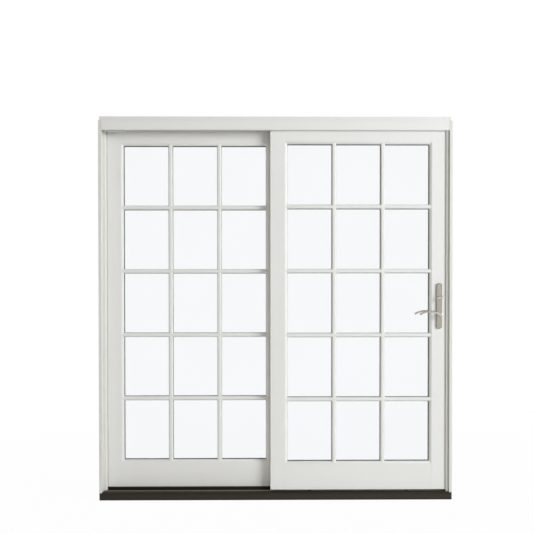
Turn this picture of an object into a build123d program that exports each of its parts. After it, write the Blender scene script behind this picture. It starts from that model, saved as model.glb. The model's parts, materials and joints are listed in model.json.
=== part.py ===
from build123d import *
import math
import os

# A two-panel sliding patio door, in millimetres.
# X runs to the right as seen from indoors, Y away from the viewer, Z up.
# The origin is the middle of the sill's underside.

# Frame
frame_width = 1860.0
frame_height = 2019.0
frame_depth = 150.0
jamb_thickness = 15.0
jamb_stop_thickness = 11.0
jamb_stop_setback = 50.0
jamb_stop_lip = 5.0
jamb_to_fixed_panel = 34.0
fixed_panel_gap = 1.0
lock_side_gap = 9.0
back_stop_depth = 14.0
back_stop_cover = 12.0
lock_cover_width = 16.0
lock_cover_thickness = 2.5
lock_groove_width = 9.0
lock_groove_depth = 1.5
head_thickness = 44.0
fascia_height = 51.0
fascia_below_top = 22.0
fascia_edge = 3.0
fascia_end_gap = 1.0
head_end_inset = 4.0

# Sill
sill_front_height = 42.0
sill_nose_bevel = 3.0
sill_nose_height = 6.0
sill_cove_depth = 4.0
sill_cove_rise = 5.0
sill_toe_height = 7.0
sill_toe_step = 1.5
track_channel_width = 28.0
track_channel_depth = 6.0
sill_back_height = 20.0
sill_lip_rise = 6.5
sill_lip_flange = 2.0
sill_lip_undercut = 8.0
sill_slope_run = 29.0
end_cap_thickness = 6.0
end_cap_bevel = 4.0
track_width = 4.0
track_rise = 8.0
track_foot_width = 18.0
track_foot_thickness = 3.0

# Panels
panel_setback = 17.0
panel_thickness = 44.0
panel_spacing = 8.5
running_clearance = 5.0
panel_head_room = 13.0
meeting_overlap = 68.0
panel_edge_bevel = 1.5
meeting_stile_flat = 78.0
jamb_stile_flat = 75.0
lock_stile_flat = 82.0
top_rail_flat = 74.0
bottom_rail_flat = 138.5
panel_bottom = 51.0
sticking_width = 12.0
sticking_step = 1.5
sticking_lip = 1.0
sticking_edge = 4.0

# Glass
pane_thickness = 3.0
pane_spacing = 12.0
glass_bite = 9.0
glass_edge_clearance = 1.0
spacer_height = 8.0
spacer_bar_width = 22.0
spacer_bar_thickness = 10.0

# Grille
lites_wide = 3
lites_high = 5
bar_width = 22.0
bar_crown = 12.0
bar_shoulder = 5.0
bar_setback = 2.0

# Head guide and travel stop
guide_thickness = 6.0
guide_engagement = 12.0
guide_groove_clearance = 7.0
stop_overlap = 10.0
stop_foot_inset = 29.0
stop_foot_length = 100.0
stop_foot_drop = 7.0
stop_foot_depth = 12.0

# Rollers
roller_radius = 17.0
roller_width = 12.0
roller_groove_depth = 3.0
roller_groove_width = 6.0
roller_ride = 0.3
roller_inset = 130.0
roller_room = 4.0
roller_stub_radius = 5.0

# Handle set
handle_backset = 43.0
lever_height = 978.5
turn_above_lever = 88.5
plate_width = 28.0
plate_height = 240.0
plate_below_lever = 75.0
plate_thickness = 10.0
plate_arch = 8.0
plate_edge = 2.0
lever_length = 110.0
lever_standoff = 42.0
lever_depth = 12.0
lever_root = 17.0
lever_waist = 11.0
lever_tip = 11.0
lever_waist_place = 0.4
lever_arch = 16.0
lever_end_round = 2.0
hub_radius = 11.0
hub_height = 10.0
hub_round = 3.0
boss_radius = 9.5
boss_depth = 14.0
neck_radius = 7.0
spindle_size = 8.0
spindle_socket = 12.0
pin_clearance = 0.05
face_clearance = 0.3
stile_bore_clearance = 2.0
turn_stem_radius = 5.0
turn_hub_radius = 8.0
turn_hub_height = 6.0
turn_length = 35.0
turn_width = 11.0
turn_height = 12.0
turn_edge = 2.0
turn_rise = 18.0
cylinder_radius = 11.0
cylinder_proud = 4.0
keyway_width = 2.5
keyway_height = 10.0
keyway_depth = 3.0

# Lock and seals
faceplate_width = 25.0
faceplate_height = 240.0
faceplate_thickness = 3.0
lock_height = 1000.0
strike_width = 28.0
strike_height = 160.0
strike_thickness = 2.0
strike_slot_width = 14.0
strike_slot_height = 60.0
lock_seal_width = 5.0
lock_seal_thickness = 1.5
meeting_seal_width = 8.0
meeting_seal_thickness = 3.0
meeting_seal_inset = 8.0

# Planes and levels that follow from the sizes above
left = -frame_width / 2
right = frame_width / 2
front = -frame_depth / 2
back = frame_depth / 2
slide_front = front + panel_setback
slide_back = slide_front + panel_thickness
slide_middle = (slide_front + slide_back) / 2
fixed_front = slide_back + panel_spacing
fixed_back = fixed_front + panel_thickness
pocket_front = slide_front - running_clearance
pocket_back = slide_back + running_clearance
left_wall = left + jamb_thickness
right_wall = right - jamb_thickness
fixed_left = left + jamb_to_fixed_panel
slide_right = right_wall - lock_side_gap
panel_width = (slide_right - fixed_left + meeting_overlap) / 2
fixed_right = fixed_left + panel_width
slide_left = slide_right - panel_width
head_bottom = frame_height - head_thickness
panel_top = head_bottom - panel_head_room
daylight_bottom = panel_bottom + bottom_rail_flat + sticking_width
daylight_top = panel_top - top_rail_flat - sticking_width
daylight_height = daylight_top - daylight_bottom
lock_cover_edge = right_wall - lock_cover_width
fascia_top = frame_height - fascia_below_top
fascia_bottom = fascia_top - fascia_height
channel_floor = sill_front_height - track_channel_depth
track_top = channel_floor + track_rise
seat_front = pocket_back + sill_lip_undercut
lip_top = panel_bottom + sill_lip_rise
glass_setback = (panel_thickness - 2 * pane_thickness - pane_spacing) / 2
lite_height = (daylight_height - (lites_high - 1) * bar_width) / lites_high
handle_x = slide_right - handle_backset
turn_z = lever_height + turn_above_lever
slide_travel = handle_x - lever_length - fixed_right - 2 * running_clearance
fixed_panel = {"left": fixed_left, "face": fixed_front, "flats": (jamb_stile_flat, meeting_stile_flat)}
sliding_panel = {"left": slide_left, "face": slide_front, "flats": (meeting_stile_flat, lock_stile_flat)}


def block(x0, x1, y0, y1, z0, z1):
    """A square-edged piece between two corners."""
    return Pos(x0, y0, z0) * Box(x1 - x0, y1 - y0, z1 - z0, align=(Align.MIN, Align.MIN, Align.MIN))


def along_x(points, x0, x1):
    """A profile of (y, z) points run along X."""
    return Pos(x0, 0, 0) * extrude(Plane.YZ * Polygon(*points, align=None), x1 - x0, dir=(1, 0, 0))


def along_y(outline, y0, y1):
    """A sketch of (x, z) run along Y."""
    return Pos(0, y0, 0) * extrude(Plane.XZ * outline, y1 - y0, dir=(0, 1, 0))


def along_z(points, z0, z1):
    """A profile of (x, y) points run along Z."""
    return Pos(0, 0, z0) * extrude(Polygon(*points, align=None), z1 - z0, dir=(0, 0, 1))


def rod_y(radius, x, z, y0, y1):
    """A round bar along Y."""
    return along_y(Pos(x, z) * Circle(radius), y0, y1)


# Sill: one dark extrusion with a track channel, a seat for the fixed panel and a slope to the outside

def sill_profile():
    """The sill's section, from the room side to the outside."""
    channel_front = slide_middle - track_channel_width / 2
    channel_back = slide_middle + track_channel_width / 2
    nose_bottom = sill_front_height - sill_nose_height
    return [
        (front + sill_toe_step, 0),
        (front + sill_toe_step, sill_toe_height),
        (front, sill_toe_height),
        (front + sill_cove_depth, nose_bottom - sill_cove_rise),
        (front, nose_bottom),
        (front, sill_front_height - sill_nose_bevel),
        (front + sill_nose_bevel, sill_front_height),
        (channel_front, sill_front_height),
        (channel_front, channel_floor),
        (channel_back, channel_floor),
        (channel_back, sill_front_height),
        (seat_front, sill_front_height),
        (seat_front, panel_bottom),
        (back - sill_slope_run, panel_bottom),
        (back, sill_back_height),
        (back, 0),
    ]


def make_sill():
    return along_x(sill_profile(), left + end_cap_thickness, right - end_cap_thickness)


def sill_space():
    """The room that the sill takes up below the jambs, its front cove filled."""
    cove = block(left, right, front, front + sill_cove_depth, 0, sill_front_height - sill_nose_height)
    return along_x(sill_profile(), left, right) + cove


def make_sill_lip():
    """An angle strip on the seat's edge that holds the fixed panel's foot."""
    points = [
        (seat_front, panel_bottom - sill_lip_flange),
        (seat_front, panel_bottom),
        (fixed_front, panel_bottom),
        (fixed_front, lip_top),
        (pocket_back, lip_top),
        (pocket_back, panel_bottom - sill_lip_flange),
    ]
    return along_x(points, left_wall, right_wall)


def lip_room():
    """The room that the stops beside the panels leave for the lip and its undercut."""
    return block(left_wall, right_wall, pocket_back, seat_front, sill_front_height, lip_top)


def make_sill_end_caps():
    """A plug on each end of the sill, with its front corner eased."""
    caps = []
    for end, inward in ((left, 1), (right, -1)):
        cap = along_x(sill_profile(), *sorted((end, end + inward * end_cap_thickness)))
        corner = along_z(
            [(end, front), (end + inward * end_cap_bevel, front), (end, front + end_cap_bevel)],
            0, sill_front_height,
        )
        caps.append(cap - corner)
    return caps


def make_slide_track():
    """A metal rail on a flat foot, standing in the sill's channel between the jambs."""
    foot = track_foot_width / 2
    web = track_width / 2
    points = [
        (slide_middle - foot, channel_floor),
        (slide_middle + foot, channel_floor),
        (slide_middle + foot, channel_floor + track_foot_thickness),
        (slide_middle + web, channel_floor + track_foot_thickness),
        (slide_middle + web, track_top - web),
        (slide_middle + web / 2, track_top),
        (slide_middle - web / 2, track_top),
        (slide_middle - web, track_top - web),
        (slide_middle - web, channel_floor + track_foot_thickness),
        (slide_middle - foot, channel_floor + track_foot_thickness),
    ]
    return along_x(points, left_wall, right_wall)


# Frame: head, jambs, stops and fascia

def make_head_jamb():
    """The head over both panels: open over the sliding one, seated on the fixed one."""
    points = [
        (pocket_front, head_bottom),
        (pocket_back, head_bottom),
        (pocket_back, panel_top),
        (fixed_back, panel_top),
        (fixed_back, panel_top - back_stop_cover),
        (fixed_back + back_stop_depth, panel_top - back_stop_cover),
        (fixed_back + back_stop_depth, head_bottom),
        (back, head_bottom),
        (back, frame_height),
        (pocket_front, frame_height),
    ]
    return along_x(points, left + head_end_inset, right - head_end_inset)


def make_head_fascia():
    """The board across the head's front, with its lower edge eased."""
    points = [
        (pocket_front, fascia_bottom),
        (pocket_front, fascia_top),
        (front, fascia_top),
        (front, fascia_bottom + fascia_edge),
        (front + fascia_edge, fascia_bottom),
    ]
    return along_x(points, left_wall + fascia_end_gap, right_wall - fascia_end_gap)


def make_jamb(x0, x1, coped):
    """A jamb board standing on the sill, its front edge running up beside the fascia."""
    board = block(x0, x1, front, back, sill_back_height, fascia_top)
    for piece in coped:
        board = board - piece
    return board


def make_left_jamb_stop(coped):
    """The lining in front of and beside the fixed panel's edge, sloped towards the panel."""
    step = left_wall + jamb_stop_thickness
    wall = fixed_left - fixed_panel_gap
    lip = fixed_front - jamb_stop_lip
    points = [
        (left_wall, front + jamb_stop_setback),
        (step, front + jamb_stop_setback),
        (wall, lip),
        (wall, fixed_back),
        (left_wall, fixed_back),
    ]
    stop = along_z(points, sill_back_height, head_bottom)
    for piece in coped:
        stop = stop - piece
    return stop


def make_back_stop(x0, x1, y0, coped):
    """A square strip on the outside of a panel's edge."""
    stop = block(x0, x1, y0, fixed_back + back_stop_depth, sill_back_height, head_bottom)
    for piece in coped:
        stop = stop - piece
    return stop


def make_lock_cover():
    """A thin strip that hides the sliding panel's edge, with a groove beside the jamb."""
    face = pocket_front - lock_cover_thickness
    groove = right_wall - lock_groove_width
    points = [
        (right_wall, pocket_front),
        (lock_cover_edge, pocket_front),
        (lock_cover_edge, face),
        (groove, face),
        (groove, face + lock_groove_depth),
        (right_wall, face + lock_groove_depth),
    ]
    return along_z(points, sill_front_height, fascia_bottom)


def make_lock_jamb_seal():
    """A slim strip lying in the lock cover's groove."""
    floor = pocket_front - lock_cover_thickness + lock_groove_depth
    middle = right_wall - lock_groove_width / 2
    return block(
        middle - lock_seal_width / 2, middle + lock_seal_width / 2, floor - lock_seal_thickness, floor,
        sill_front_height, fascia_bottom,
    )


def make_head_guide():
    """A fin under the head that keeps the sliding panel's top upright."""
    return block(
        left_wall, right_wall,
        slide_middle - guide_thickness / 2, slide_middle + guide_thickness / 2,
        panel_top - guide_engagement, head_bottom,
    )


def make_travel_stop():
    """A block beside the head guide that the opened panel meets, with a foot below the fascia."""
    end = slide_left - slide_travel - running_clearance
    body = block(
        left_wall, end, slide_front, slide_middle - guide_thickness / 2, panel_top - stop_overlap, head_bottom
    )
    foot_left = left_wall + stop_foot_inset
    foot = block(
        foot_left, foot_left + stop_foot_length, slide_front, slide_front + stop_foot_depth,
        fascia_bottom - stop_foot_drop, panel_top - stop_overlap,
    )
    return body + foot


# Panels: stiles and rails with moulded sticking, mitred at the corners

def sticking_cut():
    """The section that is cut from a square inner edge, as (inward, depth) from the face."""
    foot = glass_setback - sticking_edge
    run = sticking_width - sticking_lip
    edge = Polyline((0, -1), (0, sticking_step))
    curve = RadiusArc((0, sticking_step), (run, foot), -math.hypot(run, foot - sticking_step))
    rest = Polyline((run, foot), (sticking_width, foot), (sticking_width, -1), (0, -1))
    return make_face([edge, curve, rest])


def edge_cuts():
    """Front moulding, back moulding and glass groove in one section, as (inward, depth)."""
    front_cut = sticking_cut()
    back_cut = Pos(0, panel_thickness) * mirror(front_cut, Plane.XZ)
    groove = Pos(sticking_width - glass_bite - glass_edge_clearance, glass_setback) * Rectangle(
        glass_bite + glass_edge_clearance, panel_thickness - 2 * glass_setback,
        align=(Align.MIN, Align.MIN),
    )
    return [front_cut, back_cut, groove]


def stile_flats(panel):
    """Where the flat faces of a panel's two stiles end."""
    return panel["left"] + panel["flats"][0], panel["left"] + panel_width - panel["flats"][1]


def daylight_edges(panel):
    """The left and right edges of a panel's glass opening."""
    flat_0, flat_1 = stile_flats(panel)
    return flat_0 + sticking_width, flat_1 - sticking_width


def stile(edge_x, flat, face_y):
    """A full-height stile from its square edge to the end of its flat face, and on to the glass."""
    inward = 1 if flat > edge_x else -1
    inner = flat + inward * sticking_width
    outline = Polygon(
        (edge_x, panel_bottom), (flat, panel_bottom),
        (flat, daylight_bottom - sticking_width), (inner, daylight_bottom),
        (inner, daylight_top), (flat, daylight_top + sticking_width),
        (flat, panel_top), (edge_x, panel_top), align=None,
    )
    body = along_y(outline, face_y, face_y + panel_thickness)
    outer = body.edges().filter_by(Axis.Z).sort_by(Axis.X)
    body = chamfer(outer[:2] if inward > 0 else outer[-2:], panel_edge_bevel)
    for section in edge_cuts():
        placed = section if inward > 0 else mirror(section, Plane.YZ)
        prism = extrude(Pos(flat, face_y) * placed, panel_top, dir=(0, 0, 1))
        body = body - prism
    return body


def rail(panel, upward):
    """A rail between a panel's stiles; upward is +1 for the bottom rail."""
    flat_0, flat_1 = stile_flats(panel)
    face_y = panel["face"]
    bottom_rail = upward > 0
    outer = panel_bottom if bottom_rail else panel_top
    flat_z = daylight_bottom - sticking_width if bottom_rail else daylight_top + sticking_width
    inner_z = flat_z + upward * sticking_width
    outline = Polygon(
        (flat_0, outer), (flat_1, outer), (flat_1, flat_z), (flat_1 - sticking_width, inner_z),
        (flat_0 + sticking_width, inner_z), (flat_0, flat_z), align=None,
    )
    body = along_y(outline, face_y, face_y + panel_thickness)
    plane = Plane(origin=(flat_0, face_y, flat_z), x_dir=(0, 0, upward), z_dir=(-upward, 0, 0))
    for section in edge_cuts():
        prism = extrude(plane * section, flat_1 - flat_0, dir=(1, 0, 0))
        body = body - prism
    return body


def panes(panel):
    """Two sheets of glass, their edges in the grooves."""
    daylight_left, daylight_right = daylight_edges(panel)
    x0 = daylight_left - glass_bite
    x1 = daylight_right + glass_bite
    z0 = daylight_bottom - glass_bite
    z1 = daylight_top + glass_bite
    near = panel["face"] + glass_setback
    far = near + pane_thickness + pane_spacing
    return [
        block(x0, x1, near, near + pane_thickness, z0, z1),
        block(x0, x1, far, far + pane_thickness, z0, z1),
    ]


def bar_places(panel):
    """The middles of the upright bars and of the level bars."""
    x0, x1 = daylight_edges(panel)
    lite_width = (x1 - x0 - (lites_wide - 1) * bar_width) / lites_wide
    uprights = [x0 + k * (lite_width + bar_width) - bar_width / 2 for k in range(1, lites_wide)]
    levels = [daylight_bottom + k * (lite_height + bar_width) - bar_width / 2 for k in range(1, lites_high)]
    return uprights, levels


def spacer_grid(panel):
    """The dark spacer round the sealed unit, with its slim bars, between the panes."""
    x0, x1 = daylight_edges(panel)
    y0 = panel["face"] + glass_setback + pane_thickness
    y1 = y0 + pane_spacing
    outer = block(
        x0 - spacer_height, x1 + spacer_height, y0, y1,
        daylight_bottom - spacer_height, daylight_top + spacer_height,
    )
    grid = outer - block(x0, x1, y0, y1, daylight_bottom, daylight_top)
    half = spacer_bar_width / 2
    bar_y0 = (y0 + y1 - spacer_bar_thickness) / 2
    bar_y1 = bar_y0 + spacer_bar_thickness
    uprights, levels = bar_places(panel)
    for x in uprights:
        grid = grid + block(x - half, x + half, bar_y0, bar_y1, daylight_bottom, daylight_top)
    for z in levels:
        grid = grid + block(x0, x1, bar_y0, bar_y1, z - half, z + half)
    return grid


def grille(panel, glass_y, outward, edges):
    """Moulded bars standing on the glass, joined where they cross and coped to the sticking."""
    x0, x1 = stile_flats(panel)
    z0 = daylight_bottom - sticking_width
    z1 = daylight_top + sticking_width
    half = bar_width / 2
    crown = bar_crown / 2
    height = glass_setback - bar_setback
    section = [
        (-half, 0), (half, 0), (half, bar_shoulder), (crown, height), (-crown, height), (-half, bar_shoulder),
    ]
    uprights, levels = bar_places(panel)
    bars = []
    for x in uprights:
        bars.append(along_z([(x + u, glass_y + outward * v) for u, v in section], z0, z1))
    for z in levels:
        bars.append(along_x([(glass_y + outward * v, z + u) for u, v in section], x0, x1))
    lattice = bars[0]
    for bar in bars[1:]:
        lattice = lattice + bar
    for edge in edges:
        lattice = lattice - edge
    return lattice


def guide_groove():
    """The room cut in the sliding panel's top for the head guide."""
    half = guide_thickness / 2 + running_clearance
    return block(
        slide_left, slide_right, slide_middle - half, slide_middle + half,
        panel_top - guide_engagement - guide_groove_clearance, panel_top,
    )


# Rollers, hidden in the bottom rail

def roller_places():
    flat_0, flat_1 = stile_flats(sliding_panel)
    return [flat_0 + roller_inset, flat_1 - roller_inset]


def roller_level():
    return track_top + roller_ride + roller_radius - roller_groove_depth


def roller_pocket(x):
    room = roller_radius + roller_room
    half = roller_width / 2 + roller_room
    return block(
        x - room, x + room, slide_middle - half, slide_middle + half,
        panel_bottom, roller_level() + room,
    )


def make_rollers():
    """Grooved wheels on the track, their stub axles reaching the pocket's cheeks."""
    wheels = []
    for x in roller_places():
        z = roller_level()
        half = roller_width / 2
        wheel = rod_y(roller_radius, x, z, slide_middle - half, slide_middle + half)
        groove = roller_groove_width / 2
        ring = rod_y(roller_radius, x, z, slide_middle - groove, slide_middle + groove)
        core = rod_y(roller_radius - roller_groove_depth, x, z, slide_middle - groove, slide_middle + groove)
        reach = half + roller_room
        axle = rod_y(roller_stub_radius, x, z, slide_middle - reach, slide_middle + reach)
        wheels.append(wheel - (ring - core) + axle)
    return wheels


# Handle set

def plate_outline():
    """A long plate with shallow arched ends."""
    half = plate_width / 2
    low = lever_height - plate_below_lever
    high = low + plate_height
    sides = [
        Line((handle_x - half, high - plate_arch), (handle_x - half, low + plate_arch)),
        ThreePointArc(
            (handle_x - half, low + plate_arch), (handle_x, low), (handle_x + half, low + plate_arch)
        ),
        Line((handle_x + half, low + plate_arch), (handle_x + half, high - plate_arch)),
        ThreePointArc(
            (handle_x + half, high - plate_arch), (handle_x, high), (handle_x - half, high - plate_arch)
        ),
    ]
    return make_face(sides)


def handle_plate(face_y, outward):
    """A plate on the stile's face, bevelled round its outer edge."""
    y0, y1 = sorted((face_y, face_y + outward * plate_thickness))
    plate = along_y(plate_outline(), y0, y1)
    rim = plate.faces().sort_by(Axis.Y)[0 if outward < 0 else -1].edges()
    plate = chamfer(rim, plate_edge)
    return plate - rod_y(neck_radius + pin_clearance, handle_x, lever_height, y0, y1)


def make_front_plate():
    plate = handle_plate(slide_front, -1)
    hole = rod_y(
        turn_stem_radius + pin_clearance, handle_x, turn_z, slide_front - plate_thickness, slide_front
    )
    return plate - hole


def make_back_plate():
    plate = handle_plate(slide_back, 1)
    return plate - rod_y(cylinder_radius, handle_x, turn_z, slide_back, slide_back + plate_thickness)


def make_key_cylinder():
    """The outside key cylinder, with its keyway."""
    end = slide_back + plate_thickness + cylinder_proud
    body = rod_y(cylinder_radius, handle_x, turn_z, slide_back, end)
    keyway = block(
        handle_x - keyway_width / 2, handle_x + keyway_width / 2, end - keyway_depth, end,
        turn_z - keyway_height / 2, turn_z + keyway_height / 2,
    )
    return body - keyway


def lever(face_y, outward, spindle):
    """Hub, neck, boss and arched grip in one casting; face_y is the stile's face."""
    plate_y = face_y + outward * plate_thickness
    hub_y = plate_y + outward * face_clearance
    grip_y = plate_y + outward * (lever_standoff - lever_depth / 2)
    neck = rod_y(neck_radius, handle_x, lever_height, *sorted((face_y, grip_y)))
    hub = rod_y(hub_radius, handle_x, lever_height, *sorted((hub_y, hub_y + outward * hub_height)))
    rim = hub.edges().sort_by(Axis.Y)[-1 if outward > 0 else 0]
    end = handle_x - lever_length
    path = ThreePointArc(
        (handle_x, grip_y, lever_height),
        (handle_x - lever_length / 2, grip_y, lever_height + lever_arch),
        (end, grip_y, lever_height),
    )
    sections = [
        Plane(path @ place, x_dir=(0, 1, 0), z_dir=path % place) * Ellipse(lever_depth / 2, size / 2)
        for place, size in ((0, lever_root), (lever_waist_place, lever_waist), (1, lever_tip))
    ]
    grip = sweep(sections, path=path, multisection=True)
    grip = fillet(grip.edges().sort_by(Axis.X)[0], lever_end_round)
    boss = rod_y(boss_radius, handle_x, lever_height, grip_y - boss_depth / 2, grip_y + boss_depth / 2)
    boss = fillet(boss.edges().filter_by(GeomType.CIRCLE), hub_round)
    return neck + fillet(rim, hub_round) + grip + boss - spindle


def make_spindle():
    """The square bar that joins the two levers through the stile."""
    half = spindle_size / 2
    return block(
        handle_x - half, handle_x + half, slide_front - spindle_socket, slide_back + spindle_socket,
        lever_height - half, lever_height + half,
    )


def make_thumb_turn():
    """A small wing with rounded ends on a round stem, tilted as it was left."""
    face = slide_front - plate_thickness
    hub_y = face - face_clearance
    top = hub_y - turn_hub_height
    stem = rod_y(turn_stem_radius, handle_x, turn_z, top, slide_front + plate_thickness)
    hub = rod_y(turn_hub_radius, handle_x, turn_z, top, hub_y)
    outline = Pos(handle_x, turn_z) * Rot(0, 0, turn_rise) * SlotOverall(turn_length, turn_width)
    wing = along_y(outline, top - turn_height, top)
    wing = fillet(wing.faces().sort_by(Axis.Y)[0].edges(), turn_edge)
    return stem + hub + wing


def handle_bores():
    """The holes through the lock stile behind the handle plates."""
    spindle_bore = rod_y(neck_radius + stile_bore_clearance, handle_x, lever_height, slide_front, slide_back)
    stem_bore = rod_y(turn_stem_radius + stile_bore_clearance, handle_x, turn_z, slide_front, slide_back)
    return [spindle_bore, stem_bore]


# Lock plates

def faceplate():
    """The lock's plate, let into the edge of the lock stile."""
    return block(
        slide_right - faceplate_thickness, slide_right,
        slide_middle - faceplate_width / 2, slide_middle + faceplate_width / 2,
        lock_height - faceplate_height / 2, lock_height + faceplate_height / 2,
    )


def strike_seat():
    """The room let into the lock jamb for the strike plate."""
    return block(
        right_wall, right_wall + strike_thickness,
        slide_middle - strike_width / 2, slide_middle + strike_width / 2,
        lock_height - strike_height / 2, lock_height + strike_height / 2,
    )


def make_strike_plate():
    slot = block(
        right_wall, right_wall + strike_thickness,
        slide_middle - strike_slot_width / 2, slide_middle + strike_slot_width / 2,
        lock_height - strike_slot_height / 2, lock_height + strike_slot_height / 2,
    )
    return strike_seat() - slot


def make_meeting_seal():
    """A pile strip on the fixed meeting stile, towards the sliding panel."""
    x1 = fixed_right - meeting_seal_inset
    return block(
        x1 - meeting_seal_width, x1, fixed_front - meeting_seal_thickness, fixed_front,
        lip_top, fascia_bottom,
    )


def build():
    sill = make_sill()
    caps = make_sill_end_caps()
    head = make_head_jamb()
    fascia = make_head_fascia()
    track = make_slide_track()
    stop = make_travel_stop()
    sill_and_head = [sill_space(), head]
    nodes = {
        "sill": sill,
        "sill_end_caps": caps,
        "sill_lip": make_sill_lip(),
        "slide_track": track,
        "head_jamb": head,
        "head_fascia": fascia,
        "left_jamb": make_jamb(left, left_wall, sill_and_head),
        "left_jamb_stop": make_left_jamb_stop([*sill_and_head, lip_room(), track, stop]),
        "left_back_stop": make_back_stop(
            left_wall, fixed_left + back_stop_cover, fixed_back, sill_and_head
        ),
        "right_jamb": make_jamb(right_wall, right, [*sill_and_head, strike_seat()]),
        "right_back_stop": make_back_stop(
            lock_cover_edge, right_wall, pocket_back, [*sill_and_head, lip_room()]
        ),
        "lock_jamb_cover": make_lock_cover(),
        "lock_jamb_seal": make_lock_jamb_seal(),
        "head_guide": make_head_guide(),
        "travel_stop": stop,
        "strike_plate": make_strike_plate(),
        "meeting_seal": make_meeting_seal(),
    }
    for name, panel, left_name, right_name in (
        ("fixed", fixed_panel, "jamb_stile", "meeting_stile"),
        ("sliding", sliding_panel, "meeting_stile", "lock_stile"),
    ):
        face_y = panel["face"]
        flat_0, flat_1 = stile_flats(panel)
        edges = [
            stile(panel["left"], flat_0, face_y),
            stile(panel["left"] + panel_width, flat_1, face_y),
            rail(panel, -1),
            rail(panel, 1),
        ]
        glass_near = face_y + glass_setback
        glass_far = face_y + panel_thickness - glass_setback
        nodes[f"{name}_front_grille"] = grille(panel, glass_near, -1, edges)
        nodes[f"{name}_back_grille"] = grille(panel, glass_far, 1, edges)
        nodes[f"{name}_glass"] = panes(panel)
        nodes[f"{name}_spacer_grid"] = spacer_grid(panel)
        nodes[f"{name}_{left_name}"] = edges[0]
        nodes[f"{name}_{right_name}"] = edges[1]
        nodes[f"{name}_top_rail"] = edges[2]
        nodes[f"{name}_bottom_rail"] = edges[3]
    groove = guide_groove()
    for name in ("sliding_meeting_stile", "sliding_lock_stile", "sliding_top_rail"):
        nodes[name] = nodes[name] - groove
    for x in roller_places():
        nodes["sliding_bottom_rail"] = nodes["sliding_bottom_rail"] - roller_pocket(x)
    nodes["sliding_lock_stile"] = nodes["sliding_lock_stile"] - handle_bores() - faceplate()
    spindle = make_spindle()
    nodes["panel_rollers"] = make_rollers()
    nodes["lock_faceplate"] = faceplate()
    nodes["front_handle_plate"] = make_front_plate()
    nodes["back_handle_plate"] = make_back_plate()
    nodes["key_cylinder"] = make_key_cylinder()
    nodes["lever_spindle"] = spindle
    nodes["front_lever"] = lever(slide_front, -1, spindle)
    nodes["back_lever"] = lever(slide_back, 1, spindle)
    nodes["thumb_turn"] = make_thumb_turn()
    return nodes


def main():
    os.makedirs("parts", exist_ok=True)
    for name, shape in build().items():
        solids = shape if isinstance(shape, list) else shape.solids()
        export_step(Compound(children=list(solids)), f"parts/{name}.step")
    print("slide travel", round(slide_travel, 1))
    print("handle", round(handle_x, 1), "lite height", round(lite_height, 1))


main()
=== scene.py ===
# %% [markdown]
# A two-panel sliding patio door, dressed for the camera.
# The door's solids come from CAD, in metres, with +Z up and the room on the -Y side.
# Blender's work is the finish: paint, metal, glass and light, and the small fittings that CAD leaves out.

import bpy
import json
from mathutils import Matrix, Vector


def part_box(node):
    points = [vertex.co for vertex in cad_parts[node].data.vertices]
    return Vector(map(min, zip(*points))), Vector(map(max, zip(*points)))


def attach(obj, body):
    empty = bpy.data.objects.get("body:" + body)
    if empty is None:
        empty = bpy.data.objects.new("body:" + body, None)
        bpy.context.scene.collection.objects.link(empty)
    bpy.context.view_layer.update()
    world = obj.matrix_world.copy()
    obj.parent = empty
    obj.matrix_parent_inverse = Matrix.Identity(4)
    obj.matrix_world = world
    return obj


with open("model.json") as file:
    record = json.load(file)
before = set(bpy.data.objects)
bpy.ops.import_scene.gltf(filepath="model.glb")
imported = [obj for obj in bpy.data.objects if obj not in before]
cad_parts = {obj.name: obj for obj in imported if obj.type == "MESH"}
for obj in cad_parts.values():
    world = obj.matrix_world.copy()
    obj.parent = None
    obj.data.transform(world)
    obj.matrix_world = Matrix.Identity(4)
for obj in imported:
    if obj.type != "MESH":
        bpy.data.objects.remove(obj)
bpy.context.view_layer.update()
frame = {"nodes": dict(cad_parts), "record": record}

import json
import math

import bmesh
import bpy
from mathutils import Matrix, Vector

nodes = frame["nodes"]
subparts = frame["record"]["subparts"]

# %% [markdown]
# The camera stands in the room, a little left of the door's middle and about four metres away.
# Its place, lens and tilt were worked out from the corners of the frame and of the lites.
# The lens is shifted upwards, as an architect's camera is, because the door sits low in the picture
# while its uprights stay parallel.

# %% Camera
downward_tilt = 0.01408
camera_data = bpy.data.cameras.new("room_camera")
camera_data.sensor_width = 36.0
camera_data.lens = 52.725
camera_data.shift_y = 0.0747
camera = bpy.data.objects.new("room_camera", camera_data)
camera.location = (-0.0888, -4.1767, 1.08)
camera.rotation_euler = (math.pi / 2 - downward_tilt, 0.00062, -0.00969)
bpy.context.scene.collection.objects.link(camera)
bpy.context.scene.camera = camera
bpy.context.scene.view_settings.view_transform = "Standard"
print("camera", camera_data.lens, "mm")

# %% [markdown]
# Colours are written as sRGB hex values, as a paint chart gives them, and one function makes them linear.
# A second function adds a shader node with its settings and its inputs, so that each finish below
# reads as a short list of nodes. Patterns are sized in millimetres of the real finish.

# %% Helpers for finishes
def linear(hex_colour):
    """An sRGB hex value as the linear colour that a socket takes."""
    parts = [int(hex_colour[place:place + 2], 16) / 255 for place in (1, 3, 5)]
    return [c / 12.92 if c <= 0.04045 else ((c + 0.055) / 1.055) ** 2.4 for c in parts] + [1.0]


def add(tree, kind, inputs=None, **settings):
    """Adds one node; an input is a value, or another node's output to link."""
    node = tree.nodes.new(kind)
    for name, value in settings.items():
        setattr(node, name, value)
    for name, value in (inputs or {}).items():
        if isinstance(value, bpy.types.NodeSocket):
            tree.links.new(value, node.inputs[name])
        else:
            node.inputs[name].default_value = value
    return node


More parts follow.
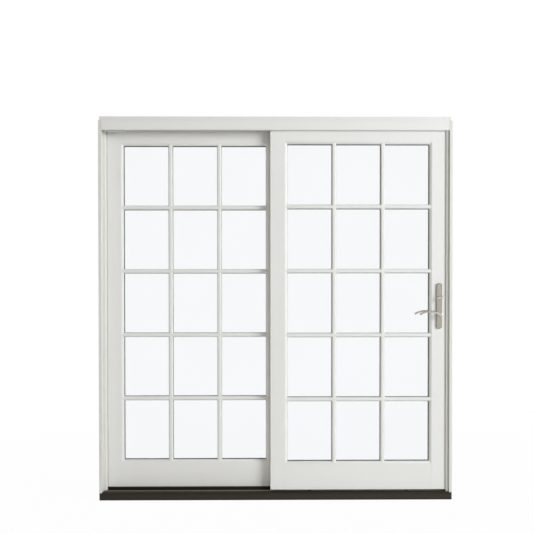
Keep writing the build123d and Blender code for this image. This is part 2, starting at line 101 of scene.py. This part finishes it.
def new_finish(name):
    """A material with one Principled shader, and its node tree."""
    material = bpy.data.materials.new(name)
    material.use_nodes = True
    tree = material.node_tree
    tree.nodes.clear()
    shader = add(tree, "ShaderNodeBsdfPrincipled")
    add(tree, "ShaderNodeOutputMaterial", {"Surface": shader.outputs["BSDF"]})
    return material, tree, shader


def per_metre(millimetres):
    """A texture's scale for a feature of that size."""
    return 1000.0 / millimetres


print("helpers ready")

# %% [markdown]
# The door stands in a white studio. The world is plain white wherever the camera or the glass looks
# at it, and gives a weaker, even light to painted surfaces. Reflections see the same white walls, but a
# greyer ceiling, because metal looks like metal only where its reflections differ.

# %% World
front_light = 0.41
back_light = 0.08
ceiling_light = 0.25
warm_cast = (1.0, 0.965, 0.90, 1)
white = (1, 1, 1, 1)

world = bpy.data.worlds.new("white_studio")
bpy.context.scene.world = world
world.use_nodes = True
sky = world.node_tree
sky.nodes.clear()
path = add(sky, "ShaderNodeLightPath").outputs
seen = add(sky, "ShaderNodeMath", {0: path["Is Camera Ray"], 1: path["Is Transmission Ray"]},
           operation="MAXIMUM").outputs[0]
looking = add(sky, "ShaderNodeTexCoord").outputs["Generated"]
towards = add(sky, "ShaderNodeSeparateXYZ", {0: looking}).outputs
even_light = add(sky, "ShaderNodeMapRange", {
    "Value": towards["Y"], "From Min": -0.3, "From Max": 0.5, "To Min": front_light, "To Max": back_light})
ceiling = add(sky, "ShaderNodeMapRange", {
    "Value": towards["Z"], "From Min": 0.15, "From Max": 0.8, "To Min": 1.0, "To Max": ceiling_light})
mirrored = add(sky, "ShaderNodeMix",
               {0: path["Is Glossy Ray"], 2: even_light.outputs[0], 3: ceiling.outputs[0]},
               data_type="FLOAT")
strength = add(sky, "ShaderNodeMix", {0: seen, 2: mirrored.outputs[0], 3: 1.0}, data_type="FLOAT")
cast = add(sky, "ShaderNodeMix", {0: seen, 6: warm_cast, 7: white}, data_type="RGBA")
background = add(sky, "ShaderNodeBackground",
                 {"Color": cast.outputs[2], "Strength": strength.outputs[0]})
add(sky, "ShaderNodeOutputWorld", {"Surface": background.outputs[0]})
print("world", world.name)

# %% [markdown]
# One large soft lamp to the right and above makes the shadows: the sliding stile darkens the edge of
# the fixed panel, and the head darkens the top rails. Two fill lamps, behind and to the left, light only
# the sides that the photograph's angle doesn't see, and stay out of reflections.

# %% Lamps
def soft_lamp(name, place, target, size, power, colour):
    """A square soft box that faces a point on the door."""
    data = bpy.data.lights.new(name, "AREA")
    data.size = size
    data.energy = power
    data.color = colour
    lamp = bpy.data.objects.new(name, data)
    lamp.location = place
    lamp.rotation_euler = (Vector(target) - Vector(place)).to_track_quat("-Z", "Y").to_euler()
    lamp.visible_camera = False
    lamp.visible_transmission = False
    bpy.context.scene.collection.objects.link(lamp)
    return lamp


key_lamp = soft_lamp("key_lamp", place=(5.60, -4.90, 3.10), target=(0, 0, 1.1), size=3.4, power=410,
                     colour=(0.92, 0.953, 1.0))
back_lamp = soft_lamp("back_lamp", place=(0, 7.0, 1.1), target=(0, 0, 1.0), size=2.5, power=230,
                      colour=white[:3])
side_lamp = soft_lamp("side_lamp", place=(-6.0, 1.2, 1.4), target=(-0.93, 0.0, 1.0), size=2.0, power=110,
                      colour=white[:3])
for fill in (back_lamp, side_lamp):
    fill.visible_glossy = False
print("lamps", key_lamp.name, back_lamp.name, side_lamp.name)

# %% [markdown]
# The floor is a wide pale sheet. Near the door it keeps a little of the door's shadow.
# Further off it fades to the studio's white, so no horizon line shows through the glass.
# Eyes and mirrors see that white, while all other light meets a matt paint.

# %% Floor
floor_reach = 30
near_white = 0.965

floor_mesh = bpy.data.meshes.new("studio_floor")
sheet = bmesh.new()
bmesh.ops.create_grid(sheet, x_segments=1, y_segments=1, size=floor_reach)
sheet.to_mesh(floor_mesh)
sheet.free()
floor = bpy.data.objects.new("studio_floor", floor_mesh)
bpy.context.scene.collection.objects.link(floor)

floor_paint = bpy.data.materials.new("matt_floor_paint")
floor_paint.use_nodes = True
tree = floor_paint.node_tree
tree.nodes.clear()
place = add(tree, "ShaderNodeTexCoord").outputs["Object"]
distance = add(tree, "ShaderNodeVectorMath", {0: place}, operation="LENGTH").outputs["Value"]
share = add(tree, "ShaderNodeMapRange", {
    "Value": distance, "From Min": 0.5, "From Max": 4.0, "To Min": near_white, "To Max": 1.0})
path = add(tree, "ShaderNodeLightPath").outputs
seen = add(tree, "ShaderNodeMath", {0: path["Is Camera Ray"], 1: path["Is Glossy Ray"]},
           operation="MAXIMUM")
seen = add(tree, "ShaderNodeMath", {0: seen.outputs[0], 1: path["Is Transmission Ray"]},
           operation="MAXIMUM")
glow_share = add(tree, "ShaderNodeMath", {0: seen.outputs[0], 1: share.outputs[0]}, operation="MULTIPLY")
matt = add(tree, "ShaderNodeBsdfDiffuse", {"Color": linear("#F4F4F2")})
glow = add(tree, "ShaderNodeEmission", {"Color": white, "Strength": 1.0})
both = add(tree, "ShaderNodeMixShader",
           {0: glow_share.outputs[0], 1: matt.outputs[0], 2: glow.outputs[0]})
add(tree, "ShaderNodeOutputMaterial", {"Surface": both.outputs[0]})
floor_mesh.materials.append(floor_paint)
print("floor", floor.name)

# %% [markdown]
# The frame and panels are wood with a factory coat of satin white enamel. Sprayed enamel is even, with
# a fine orange-peel skin and a faint drift in tone along each board, so the grain's direction still
# counts: stiles and jambs run up, rails and the head run across. Satin gloss keeps the mouldings from
# flaring. Noise that is stretched along the board gives the drift, and a second noise the skin.

# %% White enamel
drift_mm = 45
# Real orange peel is 1 to 2 mm across; it is drawn coarser, so that it shows at this distance.
orange_peel_mm = 4


def white_enamel(name, stretch, dark, light):
    """Sprayed enamel on a board; stretch is the scale along each axis, smallest along the grain."""
    material, tree, shader = new_finish(name)
    place = add(tree, "ShaderNodeTexCoord").outputs["Object"]
    along = add(tree, "ShaderNodeMapping", {"Vector": place, "Scale": stretch})
    drift = add(tree, "ShaderNodeTexNoise", {
        "Vector": along.outputs[0], "Scale": per_metre(drift_mm), "Detail": 3.0, "Roughness": 0.5})
    tone = add(tree, "ShaderNodeMix", {0: drift.outputs["Fac"], 6: linear(dark), 7: linear(light)},
               data_type="RGBA")
    skin = add(tree, "ShaderNodeTexNoise",
               {"Vector": place, "Scale": per_metre(orange_peel_mm), "Detail": 1.0})
    gloss = add(tree, "ShaderNodeMapRange",
                {"Value": drift.outputs["Fac"], "To Min": 0.50, "To Max": 0.60})
    bump = add(tree, "ShaderNodeBump",
               {"Height": skin.outputs["Fac"], "Strength": 0.04, "Distance": 0.0005})
    tree.links.new(tone.outputs[2], shader.inputs["Base Color"])
    tree.links.new(gloss.outputs[0], shader.inputs["Roughness"])
    tree.links.new(bump.outputs[0], shader.inputs["Normal"])
    shader.inputs["Specular IOR Level"].default_value = 0.25
    return material


upright_grain = (1.0, 1.0, 0.08)
level_grain = (0.08, 1.0, 1.0)
upright_enamel = white_enamel("white_enamel_upright", upright_grain, "#E8E7E3", "#EDECE9")
level_enamel = white_enamel("white_enamel_level", level_grain, "#E8E7E3", "#EDECE9")
# The jambs are clad in a slightly deeper white than the panels. The cover strip is a cream vinyl, drawn
# darker than its own colour as a painted shade for the jamb's shadow that falls across it.
jamb_enamel = white_enamel("white_jamb_cladding", upright_grain, "#DDDCD7", "#E3E2DD")
cover_vinyl_painted_shade = white_enamel("cream_vinyl_cover_painted_shade", upright_grain, "#D1D0C8", "#D7D6CF")
print("finishes", upright_enamel.name, level_enamel.name, jamb_enamel.name, cover_vinyl_painted_shade.name)

# %% [markdown]
# The sill and its track are dark bronze. The sill is an extrusion, so faint lines run along its length
# where the die dragged. Its sheen is low: only edges that face the lamp look brown.
# One noise, drawn out along X, drives the tone, the sheen and the relief, so the lines agree.

# %% Dark bronze
# Real drag lines are finer than a millimetre; they are drawn wider, so that they show.
drag_line_mm = 12
sheen_swing = 0.06


def dark_bronze(name, dark, light, metallic, roughness, specular):
    """An extruded dark finish with drag lines along X."""
    material, tree, shader = new_finish(name)
    place = add(tree, "ShaderNodeTexCoord").outputs["Object"]
    along = add(tree, "ShaderNodeMapping", {"Vector": place, "Scale": (0.01, 1.0, 1.0)})
    lines = add(tree, "ShaderNodeTexNoise",
                {"Vector": along.outputs[0], "Scale": per_metre(drag_line_mm), "Detail": 3.0})
    tone = add(tree, "ShaderNodeMix", {0: lines.outputs["Fac"], 6: linear(dark), 7: linear(light)},
               data_type="RGBA")
    sheen = add(tree, "ShaderNodeMapRange", {
        "Value": lines.outputs["Fac"], "To Min": roughness - sheen_swing, "To Max": roughness + sheen_swing})
    bump = add(tree, "ShaderNodeBump",
               {"Height": lines.outputs["Fac"], "Strength": 0.1, "Distance": 0.0004})
    tree.links.new(tone.outputs[2], shader.inputs["Base Color"])
    tree.links.new(sheen.outputs[0], shader.inputs["Roughness"])
    tree.links.new(bump.outputs[0], shader.inputs["Normal"])
    shader.inputs["Metallic"].default_value = metallic
    shader.inputs["Specular IOR Level"].default_value = specular
    return material


# A matt powder coat scatters most of its gloss, so its specular level is low and the brown shows.
sill_bronze = dark_bronze("dark_bronze_powder_coat", "#1B1610", "#332D24",
                          metallic=0.0, roughness=0.55, specular=0.28)
# The moulded caps at its ends are a lighter brown with a little more shine.
cap_bronze = dark_bronze("dark_bronze_moulded_cap", "#2A241D", "#463E35",
                         metallic=0.0, roughness=0.45, specular=0.40)
# The track is bare anodised metal: a paler line, because it mirrors the white room.
track_bronze = dark_bronze("dark_bronze_anodised_track", "#8A8276", "#9C9488",
                           metallic=1.0, roughness=0.45, specular=0.5)
print("finishes", sill_bronze.name, cap_bronze.name, track_bronze.name)

# %% [markdown]
# The handle set is nickel, a warm grey metal. The plates are brushed along their length and lacquered, and
# the brush lines blur their reflections to one soft grey;
# their colour is also drawn darker than bare satin nickel, a painted shade for duller reflections. The levers
# and the turn are polished by use, so they mirror the pale floor below and the greyer ceiling above.

# %% Satin nickel
# Real brush lines are about 0.1 mm apart; they are drawn coarser, so that they show.
brush_line_mm = 1.2


def nickel_finish(name, dark, light, smooth, rough):
    """Brushed nickel; the roughness swings between the two values from line to line."""
    material, tree, shader = new_finish(name)
    place = add(tree, "ShaderNodeTexCoord").outputs["Object"]
    along = add(tree, "ShaderNodeMapping", {"Vector": place, "Scale": (1.0, 1.0, 0.03)})
    lines = add(tree, "ShaderNodeTexNoise",
                {"Vector": along.outputs[0], "Scale": per_metre(brush_line_mm), "Detail": 3.0})
    tone = add(tree, "ShaderNodeMix", {0: lines.outputs["Fac"], 6: linear(dark), 7: linear(light)},
               data_type="RGBA")
    sheen = add(tree, "ShaderNodeMapRange",
                {"Value": lines.outputs["Fac"], "To Min": smooth, "To Max": rough})
    bump = add(tree, "ShaderNodeBump",
               {"Height": lines.outputs["Fac"], "Strength": 0.06, "Distance": 0.0002})
    tree.links.new(tone.outputs[2], shader.inputs["Base Color"])
    tree.links.new(sheen.outputs[0], shader.inputs["Roughness"])
    tree.links.new(bump.outputs[0], shader.inputs["Normal"])
    shader.inputs["Metallic"].default_value = 1.0
    return material


# The plates' nickel is drawn darker than bare satin nickel, as painted shade.
nickel = nickel_finish("satin_nickel_brushed_painted_shade", "#98958B", "#A8A59B", smooth=0.28, rough=0.42)
polished_nickel = nickel_finish("polished_nickel_lever", "#C2BEB5", "#D0CCC3", smooth=0.16, rough=0.24)
print("finishes", nickel.name, polished_nickel.name)

# %% [markdown]
# Each panel holds a sealed unit: two sheets of clear float glass with a dark spacer between them.
# Float glass has a faint blue cast that drifts very slightly across a sheet. The panes have a real
# thickness in CAD, so one transmissive shader with the index of glass is enough.

# %% Glass
glass_drift_mm = 300


def float_glass():
    """Clear glass with the faintest drift of tint."""
    material, tree, shader = new_finish("clear_float_glass")
    place = add(tree, "ShaderNodeTexCoord").outputs["Object"]
    drift = add(tree, "ShaderNodeTexNoise",
                {"Vector": place, "Scale": per_metre(glass_drift_mm), "Detail": 0.0})
    tint = add(tree, "ShaderNodeMix",
               {0: drift.outputs["Fac"], 6: linear("#FAFBFC"), 7: linear("#FBFCFD")},
               data_type="RGBA")
    tree.links.new(tint.outputs[2], shader.inputs["Base Color"])
    shader.inputs["Transmission Weight"].default_value = 1.0
    shader.inputs["Roughness"].default_value = 0.0
    shader.inputs["IOR"].default_value = 1.5
    return material


glass = float_glass()
# Clear glass throws no shadow to speak of, so the lamps shine through both panels.
for pane in ("fixed_glass", "sliding_glass"):
    nodes[pane].visible_shadow = False
print("finish", glass.name)

# %% [markdown]
# The small dark and pale parts are the spacer, the seals, the nylon fittings and the brown joint bead.
# Each gets a grain of its own: the spacer a fine tooth, the pile its fibres, the nylon a moulded bloom.
# They differ only in colour, grain size and gloss, so one function makes them all.

# %% Spacer, seals and nylon
def grained(name, dark, light, grain_mm, roughness, bump_strength, specular=0.5):
    """A small-part finish with an even grain of the given size."""
    material, tree, shader = new_finish(name)
    place = add(tree, "ShaderNodeTexCoord").outputs["Object"]
    grain = add(tree, "ShaderNodeTexNoise",
                {"Vector": place, "Scale": per_metre(grain_mm), "Detail": 2.0})
    tone = add(tree, "ShaderNodeMix", {0: grain.outputs["Fac"], 6: linear(dark), 7: linear(light)},
               data_type="RGBA")
    bump = add(tree, "ShaderNodeBump",
               {"Height": grain.outputs["Fac"], "Strength": bump_strength, "Distance": 0.0005})
    tree.links.new(tone.outputs[2], shader.inputs["Base Color"])
    tree.links.new(bump.outputs[0], shader.inputs["Normal"])
    shader.inputs["Roughness"].default_value = roughness
    shader.inputs["Specular IOR Level"].default_value = specular
    return material


# The foam spacer and the rubber are dull: a low specular level keeps them black even at a glancing angle.
spacer_dark = grained("dark_foam_spacer", "#1F1D1B", "#2C2A27",
                      grain_mm=3, roughness=0.8, bump_strength=0.1, specular=0.08)
# The glazing rubber's black is also painted shade for the shaded walls beside each lite.
rubber_shade_line = grained("black_rubber_painted_shade_line", "#151413", "#201E1D",
                         grain_mm=2, roughness=0.8, bump_strength=0.2, specular=0.08)
# The vinyl seal is soft; it is drawn near white, paler than grey vinyl, as painted light that lifts the shade
# in its groove. The pile strip is a mat of black fibres that takes all light.
grey_seal = grained("pale_vinyl_seal_painted_light", "#D9DAD3", "#E1E2DC", grain_mm=3, roughness=0.6, bump_strength=0.15)
black_pile = grained("black_pile_strip", "#1A1917", "#2A2826", grain_mm=1.5, roughness=0.9, bump_strength=0.5)
# Moulded nylon has a milky, even sheen, and the acetal of the wheels a slippery black one.
white_nylon = grained("white_nylon_moulding", "#D2D0C9", "#DAD8D2",
                      grain_mm=6, roughness=0.5, bump_strength=0.05)
black_acetal = grained("black_acetal_wheels", "#171615", "#211F1E",
                       grain_mm=4, roughness=0.45, bump_strength=0.05)
# The joint bead is a smooth brown without gloss.
brown_bead_finish = grained("brown_joint_bead", "#5A5040", "#6A5F4D",
                        grain_mm=4, roughness=0.6, bump_strength=0.1)
print("dark finishes", spacer_dark.name, rubber_shade_line.name, black_pile.name, black_acetal.name)
print("other finishes", grey_seal.name, white_nylon.name, brown_bead_finish.name)

# %% [markdown]
# Every CAD node now gets its finish. The record's slots say which nodes share one, and a short list names
# the nodes that differ from the rest of their slot. Painted boards are split by the way that they run.

# %% Dress the CAD nodes
slot_finish = {
    "dark_bronze": sill_bronze,
    "track_metal": track_bronze,
    "satin_nickel": nickel,
    "clear_glass": glass,
    "dark_spacer": spacer_dark,
    "black_seal": black_pile,
    "grey_seal": grey_seal,
    "white_nylon": white_nylon,
    "black_acetal": black_acetal,
}
own_finish = {
    "left_jamb": jamb_enamel,
    "left_jamb_stop": jamb_enamel,
    "right_jamb": jamb_enamel,
    "lock_jamb_cover": cover_vinyl_painted_shade,
    "sill_end_caps": cap_bronze,
    "front_lever": polished_nickel,
    "back_lever": polished_nickel,
    "thumb_turn": polished_nickel,
}


def board_enamel(name):
    """Upright or level enamel, by the board's longer side."""
    low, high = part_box(name)
    size = high - low
    return upright_enamel if size.z > size.x else level_enamel


for subpart in subparts:
    name = subpart["node"]
    finish = own_finish.get(name) or slot_finish.get(subpart["material_slot"]) or board_enamel(name)
    slots = nodes[name].data.materials
    slots.clear()
    slots.append(finish)
print("dressed", len(subparts))

# %% [markdown]
# CAD edges are perfectly sharp, and real ones never are: a sanded board or an extrusion has a small round
# that catches the light as a thin line. A Weld modifier joins the loose triangles of a node,
# and a Bevel modifier after it rounds only the edges that turn sharply. The mesh below stays as it is.

# %% Soften the edges
weld_reach = 0.00001
sharp_turn = math.radians(50)
eased_radius = {"white_paint": 0.0008, "dark_bronze": 0.0006}


def soften(name, radius):
    """A small round on the sharp edges of a node."""
    weld = nodes[name].modifiers.new("join_triangles", "WELD")
    weld.merge_threshold = weld_reach
    bevel = nodes[name].modifiers.new("eased_edges", "BEVEL")
    bevel.width = radius
    bevel.segments = 2
    bevel.limit_method = "ANGLE"
    bevel.angle_limit = sharp_turn
    bevel.use_clamp_overlap = True


for subpart in subparts:
    if subpart["material_slot"] in eased_radius:
        soften(subpart["node"], eased_radius[subpart["material_slot"]])
print("eased", eased_radius)

# %% [markdown]
# A thin black rubber beds the mouldings and the bars on each sheet of glass. It is the dark line that
# outlines every lite, and it is also a painted shade: its black stands in for the shaded walls of moulding
# and spacer beside the glass.
# A grid could be cut to rings, but one square for each lite is simpler: each is
# inset, its middle is taken away, and the ring that is left is extruded to the depth of the moulding's edge.

# %% Glazing seals and painted shade lines
lites_wide = 3
lites_high = 5
bar_width = 0.022
glass_bite = 0.009
seal_shade_line_width = 0.0006
seal_depth = 0.0038


def finished_piece(name, shape, finish, body):
    """Turns a bmesh into a piece with one finish that rides on a body."""
    bmesh.ops.recalc_face_normals(shape, faces=shape.faces)
    mesh = bpy.data.meshes.new(name)
    shape.to_mesh(mesh)
    shape.free()
    mesh.materials.append(finish)
    piece = bpy.data.objects.new(name, mesh)
    bpy.context.scene.collection.objects.link(piece)
    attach(piece, body)
    return piece


def glazing_seal_shade_line(name, pane_node, outward, body):
    """A ring on the glass round every lite of a panel, a black seal that is also a painted shade line;
    outward is -1 for the room side.
    """
    low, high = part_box(pane_node)
    face_y = low.y if outward < 0 else high.y
    wide = (high.x - low.x - 2 * glass_bite + bar_width) / lites_wide
    tall = (high.z - low.z - 2 * glass_bite + bar_width) / lites_high
    upright = Matrix.Rotation(math.pi / 2, 3, "X")
    rings = bmesh.new()
    for column in range(lites_wide):
        for row in range(lites_high):
            lite = bmesh.ops.create_grid(rings, x_segments=1, y_segments=1, size=0.5)["verts"]
            bmesh.ops.scale(rings, vec=(wide - bar_width, tall - bar_width, 1), verts=lite)
            bmesh.ops.rotate(rings, cent=(0, 0, 0), matrix=upright, verts=lite)
            middle_x = low.x + glass_bite + (column + 0.5) * wide - bar_width / 2
            middle_z = low.z + glass_bite + (row + 0.5) * tall - bar_width / 2
            bmesh.ops.translate(rings, vec=(middle_x, face_y, middle_z), verts=lite)
    lites = list(rings.faces)
    bmesh.ops.inset_individual(rings, faces=lites, thickness=seal_shade_line_width, use_even_offset=True)
    bmesh.ops.delete(rings, geom=lites, context="FACES")
    wall = bmesh.ops.extrude_face_region(rings, geom=list(rings.faces))
    moved = [part for part in wall["geom"] if isinstance(part, bmesh.types.BMVert)]
    bmesh.ops.translate(rings, vec=(0, outward * seal_depth, 0), verts=moved)
    return finished_piece(name, rings, rubber_shade_line, body)


seals = [
    glazing_seal_shade_line(f"{panel}_{side}_glazing_seal", f"{panel}_glass", outward, body)
    for panel, body in (("fixed", "frame"), ("sliding", "sliding_panel"))
    for side, outward in (("front", -1), ("back", 1))
]
print("seals", [seal.name for seal in seals])

# %% [markdown]
# A brown bead fills the joint where the fixed panel stands in the left jamb. It sits a
# little below the paint, so it shows as a fine brown line beside the stile. A cube is stretched to fill
# the joint, and its front edges are rounded.

# %% Brown joint bead
bead_recess = 0.0006
bead_depth = 0.006
bead_round = 0.3

stop_low, stop_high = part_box("left_jamb_stop")
stile_low, stile_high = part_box("fixed_jamb_stile")
bead_size = (stile_low.x - stop_high.x, bead_depth, stile_high.z - stile_low.z)
bead_middle = (
    (stop_high.x + stile_low.x) / 2,
    stile_low.y + bead_recess + bead_depth / 2,
    (stile_low.z + stile_high.z) / 2,
)
bead = bmesh.new()
bmesh.ops.create_cube(bead, size=1.0)
bmesh.ops.scale(bead, vec=bead_size, verts=bead.verts)
bmesh.ops.translate(bead, vec=bead_middle, verts=bead.verts)
front = min(bead.faces, key=lambda face: face.calc_center_median().y)
bmesh.ops.bevel(bead, geom=list(front.edges), offset=bead_size[0] * bead_round, affect="EDGES", segments=3,
                profile=0.5, material=-1)
brown_bead_piece = finished_piece("fixed_panel_brown_joint_bead", bead, brown_bead_finish, "frame")
print(brown_bead_piece.name, [round(side * 1000, 1) for side in bead_size], "mm")

# %% [markdown]
# Countersunk screws hold the plates. Each head is a short cone, a disc with a sloping rim. Its face is
# inset and raised a little to dome it, then inset again and pushed in for the drive. The heads are almost
# flush, so each one only shows as a ring with a dark middle.

# %% Screws
head_depth = 0.0012
dome_height = 0.0002
drive_depth = 0.0009
plate_screw_radius = 0.0035
edge_screw_radius = 0.004
plate_screw_drop = 0.090
screw_inset = 0.014
screw_sink = 0.0005


def screw_head(name, centre, axis, radius, body):
    """A domed screw head with a sunk drive; axis is the way that it faces."""
    head = bmesh.new()
    bmesh.ops.create_cone(head, cap_ends=True, segments=24, radius1=radius, radius2=radius * 0.8,
                          depth=head_depth)
    top = max(head.faces, key=lambda face: face.calc_center_median().z)
    bmesh.ops.inset_region(head, faces=[top], thickness=radius * 0.35)
    bmesh.ops.translate(head, vec=(0, 0, dome_height), verts=top.verts)
    bmesh.ops.inset_region(head, faces=[top], thickness=radius * 0.12)
    bmesh.ops.translate(head, vec=(0, 0, -drive_depth), verts=top.verts)
    turn = Vector((0, 0, 1)).rotation_difference(Vector(axis)).to_matrix()
    bmesh.ops.rotate(head, cent=(0, 0, 0), matrix=turn, verts=head.verts)
    bmesh.ops.translate(head, vec=centre, verts=head.verts)
    return finished_piece(name, head, nickel, body)


plate_low, plate_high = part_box("front_handle_plate")
plate_centre = ((plate_low.x + plate_high.x) / 2, plate_low.y, plate_high.z - plate_screw_drop)
screws = [screw_head("front_plate_screw", plate_centre, (0, -1, 0), plate_screw_radius, "sliding_panel")]
for plate, facing, body in (("lock_faceplate", 1, "sliding_panel"), ("strike_plate", -1, "frame")):
    low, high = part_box(plate)
    face_x = high.x if facing > 0 else low.x
    for end, height in (("low", low.z + screw_inset), ("high", high.z - screw_inset)):
        centre = (face_x - facing * screw_sink, (low.y + high.y) / 2, height)
        screws.append(screw_head(f"{plate}_{end}_screw", centre, (facing, 0, 0), edge_screw_radius, body))
print("screws", [screw.name for screw in screws])
